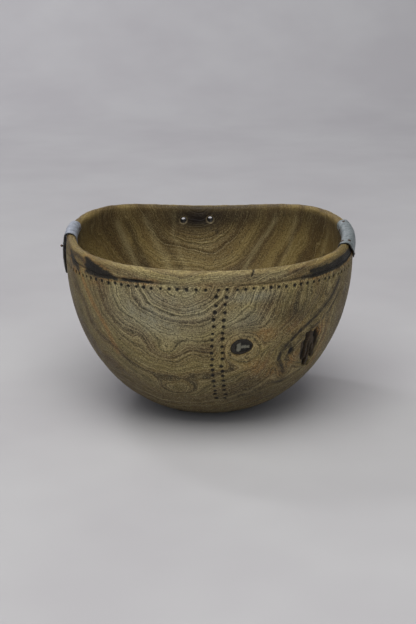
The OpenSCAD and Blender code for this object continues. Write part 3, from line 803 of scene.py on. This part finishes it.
def carvedHardwood():
    material, tree, place = newMaterial("smokedCarvedHardwood")
    look, patterns = woodLook, {}
    for name, (size, detail, rough) in look["patterns"].items():
        patterns[name] = put(tree, "TexNoise", None, {"Vector": place, "Scale": 1 / size, "Detail": detail,
                                                      "Roughness": rough})
    ring = put(tree, "Attribute", {"attribute_name": "ring"}, out="Fac")
    for size, detail, push in look["waves"]:
        wave = put(tree, "TexNoise", None, {"Vector": place, "Scale": 1 / size, "Detail": detail})
        wave = put(tree, "Math", {"operation": "MULTIPLY_ADD"}, {0: wave, 1: push, 2: -push / 2})
        ring = put(tree, "Math", {"operation": "ADD"}, {0: ring, 1: wave})
    for name, (gap, detail, rough) in look["rings"].items():
        patterns[name] = put(tree, "TexNoise", {"noise_dimensions": "1D"}, {
            "W": ring, "Scale": 1 / gap, "Detail": detail, "Roughness": rough})
    for name, drift in [("curl", 0.1), ("twin", 0.1), ("vein", 0.0)]:  # the dark lines waver by 2 mm
        away = put(tree, "Attribute", {"attribute_name": name}, out="Fac")
        patterns[name] = put(tree, "Math", {"operation": "MULTIPLY_ADD"},
                             {0: patterns["drift"], 1: drift, 2: away})
    wood = layOver(tree, look, patterns, look["brown"], woodLayers)
    rotten = layOver(tree, look, patterns, look["rotLight"], rottenLayers)
    rot = put(tree, "Attribute", {"attribute_name": "rot"}, out="Fac")
    rot = put(tree, "Math", {"operation": "MULTIPLY"}, {0: rot, 1: 0.95})
    wood = put(tree, "Mix", {"data_type": "RGBA"}, {0: rot, 6: wood, 7: rotten}, 2)
    wood = layOver(tree, look, patterns, wood, stainLayers)
    sheen = put(tree, "ValToRGB", {"stops": look["sheen"]}, {"Fac": patterns["clouds"]})
    height = put(tree, "Math", {"operation": "MULTIPLY"}, {0: patterns["pores"], 1: look["poreRelief"]})
    for (name, *stops), depth in [(fineLines, 0.4), (strongLines, 0.7)]:  # the lines lie a little lower
        line = put(tree, "ValToRGB", {"stops": stops}, {"Fac": patterns[name]})
        height = put(tree, "Math", {"operation": "MULTIPLY_ADD"}, {0: line, 1: -depth, 2: height})
    bump = put(tree, "Bump", None, {
        "Strength": look["relief"], "Distance": look["reliefMm"] * mm, "Height": height})
    shader = put(tree, "BsdfPrincipled", None, {
        "Base Color": wood, "Roughness": sheen, "Normal": bump, "IOR": look["ior"],
        "Specular IOR Level": look["specular"]})
    put(tree, "OutputMaterial", None, {"Surface": shader})
    return material


bowlPiece.data.materials.clear()
bowlPiece.data.materials.append(carvedHardwood())
print("wood finished")


# the dead knot: a ring of shrunken bark round a hard grey core
knot = {
    "barkSink": 1.0, "coreSink": 0.5, "coreLow": 1.7, "coreWide": 6.3, "coreTall": 5.1,
    "coreShift": (1.3, -0.4), "gap": 0.25, "skinBend": 116,
    "bars": [(-2.2, -0.4, 1.8, 4.2), (3.0, -0.4, 3.9, 1.2)],  # middle, half width and half height of each
}
knotWall = float((outerRadius(knotAngle, knotCentre.z) - innerRadius(knotAngle, knotCentre.z))
                 * math.hypot(knotNormal[0], knotNormal[1]))


def coreOutline(count, inset):
    turns = np.linspace(0, 2 * math.pi, count, endpoint=False)
    lump = 1 + 0.05 * np.sin(2 * turns + 1.1) + 0.04 * np.sin(5 * turns)
    x, y = knot["coreShift"]
    wide, tall = knot["coreWide"], knot["coreTall"]
    return [(x + (wide * k - inset) * math.cos(a), y + (tall * k - inset) * math.sin(a))
            for a, k in zip(turns, lump)]


def barShare(x, y):  # 1 on the raised bars of the core
    best = 0.0
    for cx, cy, wide, tall in knot["bars"]:
        ragged = 0.45 * noise.noise(Vector((x / 1.6, y / 1.6, 4.4)))
        d = max(abs(x - cx) - wide, abs(y - cy) - tall) + ragged
        best = max(best, float(smooth(0.35, -0.35, d)) if d < 0.35 else 0.0)
    return best


def plugPiece(name, outer, inner, topOf, layers):  # a plug through the wall; inner is None if it is solid
    bm = bmesh.new()
    count, steps = len(outer), 14
    made = []
    marksOf = {key: bm.verts.layers.float.new(key) for key in layers}

    def ring(outline, depth, top):
        row = []
        for x, y in outline:
            h = topOf(x, y) - (x * x + y * y) / (2 * knot["skinBend"]) if top else -depth
            v = bm.verts.new(Vector((knotPlace + knotSide * x + knotUp * y + knotNormal * h) * mm))
            for key, value in layers.items():
                v[marksOf[key]] = value(x, y) if top else 0.0
            row.append(v)
        return row

    def between(a, b, k):
        return [(p[0] + (q[0] - p[0]) * k, p[1] + (q[1] - p[1]) * k) for p, q in zip(a, b)]

    centre = [knot["coreShift"]] * count
    core = inner if inner else between(centre, outer, 0.06)
    for k in range(steps + 1):
        made.append(ring(between(core, outer, k / steps), 0, True))
    bottom = knotWall - 0.6
    made.append(ring(outer, 2.5, False))
    made.append(ring(outer, bottom, False))
    made.append(ring(core, bottom, False))
    if inner:
        made.append(ring(core, 2.5, False))
        made.append(made[0])
    for low, high in zip(made[:-1], made[1:]):
        for j in range(count):
            bm.faces.new((low[j], low[(j + 1) % count], high[(j + 1) % count], high[j]))
    if not inner:
        bm.faces.new(made[0])
        bm.faces.new(made[-1][::-1])
    bmesh.ops.recalc_face_normals(bm, faces=bm.faces)
    mesh = bpy.data.meshes.new(name)
    bm.to_mesh(mesh)
    bm.free()
    smoothFaces(mesh, 50)
    return bpy.data.objects.new(name, mesh)


def barkHeight(x, y):
    crack = max(0.0, noise.noise(Vector((math.atan2(y, x) * 2.6, math.hypot(x, y) / 7, 2.2)))) ** 2
    rough = noise.noise(Vector((x / 1.5, y / 1.5, 9.0)))
    return -knot["barkSink"] + 0.3 * rough - 1.2 * crack


def coreHeight(x, y):
    rise = (knot["coreLow"] - knot["coreSink"]) * barShare(x, y)
    return rise - knot["coreLow"] + 0.12 * noise.noise(Vector((x, y, 1.0)))


def makeKnot():
    bark = plugPiece("knotBark", knotOutline(72, knot["gap"]), coreOutline(72, -0.05), barkHeight, {})
    core = plugPiece("knotCore", coreOutline(72, 0.05), None, coreHeight, {"raised": barShare})
    finishPiece(bark, "knot_bark")
    finishPiece(core, "knot_core")
    bark.data.materials.append(charredBark())
    core.data.materials.append(greyHeartwood())


# Bark that has dried black and shrunk: dull, cracked, with brown dust in the cracks.
barkLook = {"tones": [(0.3, "#16140f"), (0.55, "#2b2720"), (0.75, "#4a4335")], "crumb": 0.9, "rough": 0.7,
            "ior": 1.45, "relief": 0.8, "reliefMm": 0.5}


def charredBark():
    material, tree, place = newMaterial("charredKnotBark")
    look = barkLook
    crumbs = put(tree, "TexNoise", None, {
        "Vector": place, "Scale": 1 / look["crumb"], "Detail": 3, "Roughness": 0.65})
    tone = put(tree, "ValToRGB", {"stops": look["tones"]}, {"Fac": crumbs})
    bump = put(tree, "Bump", None, {
        "Strength": look["relief"], "Distance": look["reliefMm"] * mm, "Height": crumbs})
    shader = put(tree, "BsdfPrincipled", None, {
        "Base Color": tone, "Roughness": look["rough"], "Normal": bump, "IOR": look["ior"]})
    put(tree, "OutputMaterial", None, {"Surface": shader})
    return material


# End grain of the dead branch, weathered grey where it stands up and black between.
# Its fibres are about 0.1 mm thick and are drawn coarser, so that they show.
heartLook = {"greys": [(0.3, "#4d4b40"), (0.7, "#7d7b6a")], "low": "#1b1813", "fibre": 0.7, "rough": 0.62,
             "ior": 1.45, "relief": 0.6, "reliefMm": 0.3}


def greyHeartwood():
    material, tree, place = newMaterial("greyKnotHeartwood")
    look = heartLook
    fibres = put(tree, "TexNoise", None, {
        "Vector": place, "Scale": 1 / look["fibre"], "Detail": 2, "Roughness": 0.6})
    grey = put(tree, "ValToRGB", {"stops": look["greys"]}, {"Fac": fibres})
    raised = put(tree, "Attribute", {"attribute_name": "raised"}, out="Fac")
    tone = put(tree, "Mix", {"data_type": "RGBA"}, {0: raised, 6: look["low"], 7: grey}, 2)
    bump = put(tree, "Bump", None, {
        "Strength": look["relief"], "Distance": look["reliefMm"] * mm, "Height": fibres})
    shader = put(tree, "BsdfPrincipled", None, {
        "Base Color": tone, "Roughness": look["rough"], "Normal": bump, "IOR": look["ior"]})
    put(tree, "OutputMaterial", None, {"Surface": shader})
    return material


makeKnot()
print("knot made")


# sheet clips folded over the rim
# each fold, in mm: its length, how far its middle sits towards the front, the drop of its outer leaf and
# how far that bows; bowAt is the share of the way up where it bows most; cutBack, how far its foot is cut
# back, and runOn, how far its inner leaf runs on, are in degrees
folds = {
    "left": {"long": 32, "shift": -3.5, "drop": 37, "bow": 1.5, "bowAt": 0.5, "cutBack": 0, "runOn": 7},
    "right": {"long": 67, "shift": 10.5, "drop": 22, "bow": 1.8, "bowAt": 0.68, "cutBack": 14, "runOn": 1.5},
}
sheet = {"thick": 0.9, "gap": 0.15, "innerDrop": 6.5, "outerRows": 7, "lipRows": 6, "innerRows": 2,
         "dent": 0.28, "edge": 0.5}
crownRow = sheet["outerRows"] + sheet["lipRows"] / 2
lastRow = sheet["outerRows"] + sheet["lipRows"] + sheet["innerRows"]


def halfAngle(width):
    return math.degrees(math.asin((width / (2 * halfDepth)) ** (form["planPower"] / 2)))


for side, fold in folds.items():
    back, front = halfAngle(fold["long"] - 2 * fold["shift"]), halfAngle(fold["long"] + 2 * fold["shift"])
    fold["ends"] = (180 - back, 180 + front) if side == "left" else (back, -front)


def woodUnder(fold, row, t):  # radius and height of the wood under a row of the fold
    rim = rimHeight(t)
    outerDrop = fold["drop"] + (form["lipRound"] - fold["drop"]) * row / sheet["outerRows"]
    innerShare = (row - sheet["outerRows"] - sheet["lipRows"]) / sheet["innerRows"]
    innerDropHere = form["lipRound"] + (sheet["innerDrop"] - form["lipRound"]) * np.maximum(innerShare, 0)
    low = rim - form["lipRound"]
    a, b = outerRadius(t, low), innerRadius(t, low)
    turn = math.pi * np.clip((row - sheet["outerRows"]) / sheet["lipRows"], 0, 1)
    r = np.where(row < sheet["outerRows"], outerRadius(t, rim - outerDrop),
                 np.where(innerShare <= 0, (a + b) / 2 + (a - b) / 2 * np.cos(turn),
                          innerRadius(t, rim - innerDropHere)))
    z = np.where(row < sheet["outerRows"], rim - outerDrop,
                 np.where(innerShare <= 0, low + form["lipRound"] * np.sin(turn), rim - innerDropHere))
    return r, z


def sheetPoint(fold, row, t, level):
    r, z = woodUnder(fold, row, t)
    r1, z1 = woodUnder(fold, np.minimum(row + 0.6, lastRow), t)
    r0, z0 = woodUnder(fold, np.maximum(row - 0.6, 0), t)
    size = np.hypot(r1 - r0, z1 - z0)
    outR, outZ = (z1 - z0) / size, -(r1 - r0) / size
    bowPower = math.log(0.5) / math.log(fold["bowAt"])
    bow = fold["bow"] * np.sin(math.pi * np.clip(row / crownRow, 0, 1) ** bowPower)
    bow = np.where(row >= crownRow, 0, bow)
    off = sheet["gap"] + bow + level
    r, z = r + outR * off, z + outZ * off
    x, y = plan(t)
    k = r / reach(t)
    return np.stack([x * k, y * k, z], -1)


def sheetAngle(fold, row, share):
    back, front = fold["ends"]
    way = math.copysign(1, front - back)
    runOn = fold["runOn"] * np.maximum(0, (row - sheet["outerRows"]) / (lastRow - sheet["outerRows"]))
    cutBack = fold["cutBack"] * np.maximum(0, 1 - row / sheet["outerRows"])
    end = front + way * (runOn - cutBack)
    return np.radians(back + (end - back) * share)


def clipPiece(name, side, node, seed):
    fold = folds[side]
    rowCount, shareCount = 84, 64
    rows = np.linspace(0, lastRow, rowCount)
    shares = np.linspace(0, 1, shareCount)
    row, share = np.meshgrid(rows, shares, indexing="ij")
    # snipped by hand: the edges wander, and the corners are a little round
    long = fold["long"]
    flatPlaces = [(r * 3, s * long, 0) for r, s in zip(row.ravel(), share.ravel())]
    wander = grainNoise(flatPlaces, 7, seed).reshape(row.shape)
    share = share + wander * sheet["edge"] / long * (np.exp(-share * 14) + np.exp(-(1 - share) * 14))
    corner = np.abs(2 * share - 1) ** 10
    row = row + (corner * 0.5 + 0.12 * wander) * np.exp(-row * 1.5)
    row = np.clip(row - corner * 0.25 * np.exp(-(lastRow - row) * 2), 0, lastRow)
    t = sheetAngle(fold, row, share)
    flat = sheetPoint(fold, row, t, sheet["thick"] / 2).reshape(-1, 3)
    dents = (0.65 * grainNoise(flat, 8, seed + 1) + 0.45 * grainNoise(flat, 3.4, seed + 2)).reshape(row.shape)
    lift = sheet["dent"] * (dents + 0.6)
    if side == "right":
        lifted = 0.7 * np.exp(-share * 12) * smooth(4, 0, row)
    else:
        lifted = 0.3 * np.exp(-(1 - share) * 12)
    lift = np.maximum(lift, 0) + lifted
    points = np.concatenate([sheetPoint(fold, row, t, lift).reshape(-1, 3),
                             sheetPoint(fold, row, t, lift + sheet["thick"]).reshape(-1, 3)])
    count = rowCount * shareCount
    at = np.arange(count).reshape(rowCount, shareCount)
    faces = []
    for i in range(rowCount - 1):
        for j in range(shareCount - 1):
            quad = [at[i, j], at[i, j + 1], at[i + 1, j + 1], at[i + 1, j]]
            faces.append([int(v) for v in quad[::-1]])
            faces.append([int(v) + count for v in quad])
    border = [*at[0, :], *at[1:, -1], *at[-1, -2::-1], *at[-2:0:-1, 0]]
    for a, b in zip(border, border[1:] + border[:1]):
        faces.append([int(a), int(b), int(b) + count, int(a) + count])
    mesh = bpy.data.meshes.new(name)
    mesh.from_pydata((points * mm).tolist(), [], faces)
    brim = np.zeros(2 * count)
    brim[border] = brim[np.array(border) + count] = 1
    mesh.attributes.new("brim", "FLOAT", "POINT").data.foreach_set("value", brim.astype(np.float32))
    bm = bmesh.new()
    bm.from_mesh(mesh)
    bmesh.ops.recalc_face_normals(bm, faces=bm.faces)
    sharp = [e for e in bm.edges if len(e.link_faces) == 2 and e.calc_face_angle() > math.radians(50)]
    bmesh.ops.bevel(bm, geom=sharp, offset=0.22 * mm, segments=2, profile=0.5, affect="EDGES")
    bm.to_mesh(mesh)
    bm.free()
    smoothFaces(mesh, 60)
    piece = bpy.data.objects.new(name, mesh)
    finishPiece(piece, node)
    return piece


# Thin sheet cut from an old pan or can and beaten over the rim: soft blurred shine, fine scratches,
# grey oxide in the dents, brown grime and painted shade along the edges. Scratches are drawn 0.5 mm wide, so
# that they show.
sheetLooks = {
    "left": {"name": "beatenAluminiumSheet", "bright": "#bfc5cf", "dull": "#989fa9", "grime": "#655f55",
             "edge": "#2b2722", "rough": 0.48},
    "right": {"name": "dulledZincSheet", "bright": "#a5adaf", "dull": "#808889", "grime": "#504c44",
              "edge": "#2b2722", "rough": 0.52},
}
sheetPatterns = {"clouds": [5, 4, 0.6], "specks": [0.8, 2, 0.7], "scratches": [0.5, 2, 0.6]}
sheetLayers = [
    ("bright", ("clouds", (0.35, 0.0), (0.65, 1.0))),
    ("grime", ("specks", (0.3, 0.65), (0.42, 0.0))),
    # the edges: brown grime, and painted shade where the sheet stands off the wood
    ("edge", ("brim", (0.2, 0.0), (0.9, 0.92))),
]


def beatenSheet(look):
    material, tree, place = newMaterial(look["name"])
    # the scratches run up the leaf
    drawn = put(tree, "VectorMath", {"operation": "MULTIPLY"}, {0: place, 1: (1.0, 1.0, 0.12)})
    patterns = {"brim": put(tree, "Attribute", {"attribute_name": "brim"}, out="Fac")}
    for name, (size, detail, rough) in sheetPatterns.items():
        patterns[name] = put(tree, "TexNoise", None, {
            "Vector": drawn if name == "scratches" else place, "Scale": 1 / size, "Detail": detail,
            "Roughness": rough})
    tone = layOver(tree, look, patterns, look["dull"], sheetLayers)
    shine = put(tree, "ValToRGB", {"stops": [(0.3, look["rough"] + 0.12), (0.7, look["rough"] - 0.05)]},
                {"Fac": patterns["clouds"]})
    shine = put(tree, "Math", {"operation": "MULTIPLY_ADD", "use_clamp": True},
                {0: patterns["brim"], 1: 0.3, 2: shine})
    metal = put(tree, "ValToRGB", {"stops": [(0.3, 0.85), (0.9, 0.1)]}, {"Fac": patterns["brim"]})
    height = put(tree, "Math", {"operation": "MULTIPLY"}, {0: patterns["scratches"], 1: 0.3})
    height = put(tree, "Math", {"operation": "MULTIPLY_ADD"}, {0: patterns["clouds"], 1: 0.7, 2: height})
    bump = put(tree, "Bump", None, {"Strength": 0.5, "Distance": 0.4 * mm, "Height": height})
    shader = put(tree, "BsdfPrincipled", None, {
        "Base Color": tone, "Metallic": metal, "Roughness": shine, "Normal": bump})
    put(tree, "OutputMaterial", None, {"Surface": shader})
    return material


leftClip = clipPiece("leftClip", "left", "left_rim_clip", 21)
leftClip.data.materials.append(beatenSheet(sheetLooks["left"]))
rightClip = clipPiece("rightClip", "right", "right_rim_clip", 31)
rightClip.data.materials.append(beatenSheet(sheetLooks["right"]))
print("clips made")


# nails, tacks and the loose pin; lengths in mm, and shankShare is the shank's width over the head's
nails = {"turns": 20, "wobble": 0.06, "headDents": 0.08, "shankShare": 0.46, "headRise": 0.85,
         "pinShank": 0.5}


def islands(node):  # the separate solids of a CAD node, each as its corner points in mm
    bm = bmesh.new()
    bm.from_mesh(frame["nodes"][node].data)
    bmesh.ops.remove_doubles(bm, verts=bm.verts, dist=1e-6)
    left, found = set(bm.verts), []
    while left:
        stack, group = [left.pop()], []
        while stack:
            v = stack.pop()
            group.append(v.co / mm)
            for e in v.link_edges:
                other = e.other_vert(v)
                if other in left:
                    left.remove(other)
                    stack.append(other)
        found.append(np.array(group))
    bm.free()
    return sorted(found, key=lambda g: tuple(g.mean(0).round(2)))


def nailAxis(points):  # middle, direction towards the head, the two ends along it, and widths
    values, vectors = np.linalg.eigh(np.cov((points - points.mean(0)).T))
    spread = [abs(values[0] - values[1]), abs(values[1] - values[2])]
    axis = vectors[:, 2] if spread[1] > spread[0] else vectors[:, 0]
    along = (points - points.mean(0)) @ axis
    across = np.linalg.norm(points - points.mean(0) - along[:, None] * axis, axis=1)
    if along[np.argmax(across)] < 0:
        axis, along = -axis, -along
    return points.mean(0), axis, along.min(), along.max(), across


def turned(bm, base, axis, profile, seed):  # a lathe form along axis, slightly out of true
    side = np.cross(axis, (0.3, 0.1, 0.95))
    side /= np.linalg.norm(side)
    other = np.cross(axis, side)
    rings = []
    for height, radius in profile:
        row = []
        for k in range(nails["turns"]):
            a = 2 * math.pi * k / nails["turns"]
            out = side * math.cos(a) + other * math.sin(a)
            bump = 1 + nails["wobble"] * noise.noise(Vector((out * 1.4).tolist()) + Vector((seed, height, 0)))
            dent = nails["headDents"] * noise.noise(Vector((out * radius).tolist()) + Vector((seed, 0, 3)))
            row.append(bm.verts.new(Vector((base + axis * (height + dent) + out * radius * bump) * mm)))
        rings.append(row)
    count = nails["turns"]
    for low, high in zip(rings[:-1], rings[1:]):
        for k in range(count):
            bm.faces.new((low[k], low[(k + 1) % count], high[(k + 1) % count], high[k]))
    bm.faces.new(rings[0][::-1])
    bm.faces.new(rings[-1])


def nailPiece(name, node, ball=False):
    bm = bmesh.new()
    for k, points in enumerate(islands(node)):
        base, axis, low, high, across = nailAxis(points)
        head = across.max()
        if ball:
            shank = nails["pinShank"]
            profile = [(low, 0.25), (low + 0.6, shank), (high - 2 * head + 0.15, shank)]
            for a in np.linspace(math.radians(28), math.radians(172), 12):
                profile.append((high - head - head * math.cos(a), head * math.sin(a)))
        else:
            shank = head * nails["shankShare"]
            rise = nails["headRise"]
            profile = [(low, 0.3), (low + 0.8, shank), (high - rise - 0.05, shank),
                       (high - rise - 0.02, head * 0.97)]
            for a in np.linspace(0.0, math.radians(84), 9):
                profile.append((high - rise + rise * math.sin(a), head * math.cos(a)))
        turned(bm, base, axis, profile, 3.7 * k + len(name))
    bmesh.ops.recalc_face_normals(bm, faces=bm.faces)
    mesh = bpy.data.meshes.new(name)
    bm.to_mesh(mesh)
    bm.free()
    smoothFaces(mesh, 45)
    piece = bpy.data.objects.new(name, mesh)
    finishPiece(piece, node)
    return piece


# Hand-cut iron gone dark brown, with orange rust in the pits and a little bare metal on the crown.
ironLook = {"tones": [(0.3, "#2a211b"), (0.5, "#40342b"), (0.66, "#6a4026"), (0.8, "#77706a")], "pit": 0.6,
            "metal": 0.6, "rough": 0.55, "relief": 0.7, "reliefMm": 0.2}


def rustedIron():
    material, tree, place = newMaterial("rustedIronNail")
    look = ironLook
    pits = put(tree, "TexNoise", None, {
        "Vector": place, "Scale": 1 / look["pit"], "Detail": 3, "Roughness": 0.65})
    tone = put(tree, "ValToRGB", {"stops": look["tones"]}, {"Fac": pits})
    bump = put(tree, "Bump", None, {
        "Strength": look["relief"], "Distance": look["reliefMm"] * mm, "Height": pits})
    shader = put(tree, "BsdfPrincipled", None, {
        "Base Color": tone, "Metallic": look["metal"], "Roughness": look["rough"], "Normal": bump})
    put(tree, "OutputMaterial", None, {"Surface": shader})
    return material


iron = rustedIron()
for pieceName, nodeName in [
        ("leftOuterNails", "left_outer_nails"), ("leftInnerNails", "left_inner_nails"),
        ("leftLoosePin", "left_loose_pin"), ("rightCrownNails", "right_crown_nails"),
        ("rightOuterNails", "right_outer_nails"), ("rightInnerNails", "right_inner_nails")]:
    nailPiece(pieceName, nodeName, ball=nodeName == "left_loose_pin").data.materials.append(iron)
print("nails made")


# floor, backdrop, light and camera, in metres
stage = {"back": 1.5, "bend": 0.9, "rise": 3.2, "side": 3.5, "front": 2.5, "mottleMm": 240,
         "tones": [(0.35, "#afadaf"), (0.65, "#b6b5b6")]}


def makeStage():
    bm = bmesh.new()
    path = [(-stage["front"], 0.0), (stage["back"], 0.0)]
    for k in range(1, 25):
        turn = math.pi / 2 * k / 24
        path.append((stage["back"] + stage["bend"] * math.sin(turn), stage["bend"] * (1 - math.cos(turn))))
    path.append((stage["back"] + stage["bend"], stage["rise"]))
    rows = [[bm.verts.new((x, y, z)) for x in np.linspace(-stage["side"], stage["side"], 5)] for y, z in path]
    for low, high in zip(rows[:-1], rows[1:]):
        for k in range(len(low) - 1):
            bm.faces.new((low[k], low[k + 1], high[k + 1], high[k]))
    mesh = bpy.data.meshes.new("paperBackdrop")
    bm.to_mesh(mesh)
    bm.free()
    smoothFaces(mesh)
    piece = bpy.data.objects.new("paperBackdrop", mesh)
    scene.collection.objects.link(piece)
    material, tree, place = newMaterial("mattPaper")  # rolled backdrop paper, coated matt: even, no shine
    lumps = put(tree, "TexNoise", None, {
        "Vector": place, "Scale": 1 / stage["mottleMm"], "Detail": 3, "Roughness": 0.6})
    tone = put(tree, "ValToRGB", {"stops": stage["tones"]}, {"Fac": lumps})
    shader = put(tree, "BsdfPrincipled", None, {"Base Color": tone, "Roughness": 0.9, "IOR": 1.45})
    put(tree, "OutputMaterial", None, {"Surface": shader})
    mesh.materials.append(material)


lamps = [
    # place, size and aim in metres, power in watts
    {"name": "softboxTop", "place": (-0.1, -0.7, 1.7), "aim": (0, 0, 0.08), "size": 1.6, "watts": 32,
     "colour": "#fffefb"},
    {"name": "softboxFront", "place": (-0.2, -2.1, 0.9), "aim": (0, 0, 0.1), "size": 1.6, "watts": 6.5,
     "colour": "#f7faff"},
    {"name": "wallLamp", "place": (-1.5, 1.5, 2.6), "aim": (-0.9, 2.4, 2.0), "size": 0.9, "watts": 50,
     "colour": "#fbfaff"},
]


studio = {"colour": "#c9ccd2", "strength": 0.4}  # the even light from all round


def makeLamps():
    for lamp in lamps:
        data = bpy.data.lights.new(lamp["name"], "AREA")
        data.shape = "SQUARE"
        data.size = lamp["size"]
        data.energy = lamp["watts"]
        data.color = linear(lamp["colour"])[:3]
        item = bpy.data.objects.new(lamp["name"], data)
        item.location = lamp["place"]
        aim = Vector(lamp["aim"]) - item.location
        item.rotation_euler = aim.to_track_quat("-Z", "Y").to_euler()
        scene.collection.objects.link(item)
    world = bpy.data.worlds.new("studio")
    world.use_nodes = True
    world.node_tree.nodes["Background"].inputs[0].default_value = linear(studio["colour"])
    world.node_tree.nodes["Background"].inputs[1].default_value = studio["strength"]
    scene.world = world


# focal length in mm, distance in metres and angle in degrees above a point at aboveFloor, and the aim
lens = {"length": 74.3, "away": 1.150, "up": 17.8, "aboveFloor": 0.08, "lookAt": (-0.0012, 0, 0.082)}


def makeCamera():
    data = bpy.data.cameras.new("camera")
    data.lens = lens["length"]
    item = bpy.data.objects.new("camera", data)
    up = math.radians(lens["up"])
    look = Vector(lens["lookAt"])
    height = lens["aboveFloor"] + lens["away"] * math.sin(up)
    item.location = Vector((look.x, -lens["away"] * math.cos(up), height))
    item.rotation_euler = (look - item.location).to_track_quat("-Z", "Y").to_euler()
    scene.collection.objects.link(item)
    scene.camera = item


makeStage()
makeLamps()
makeCamera()
print("stage, lamps and camera placed")
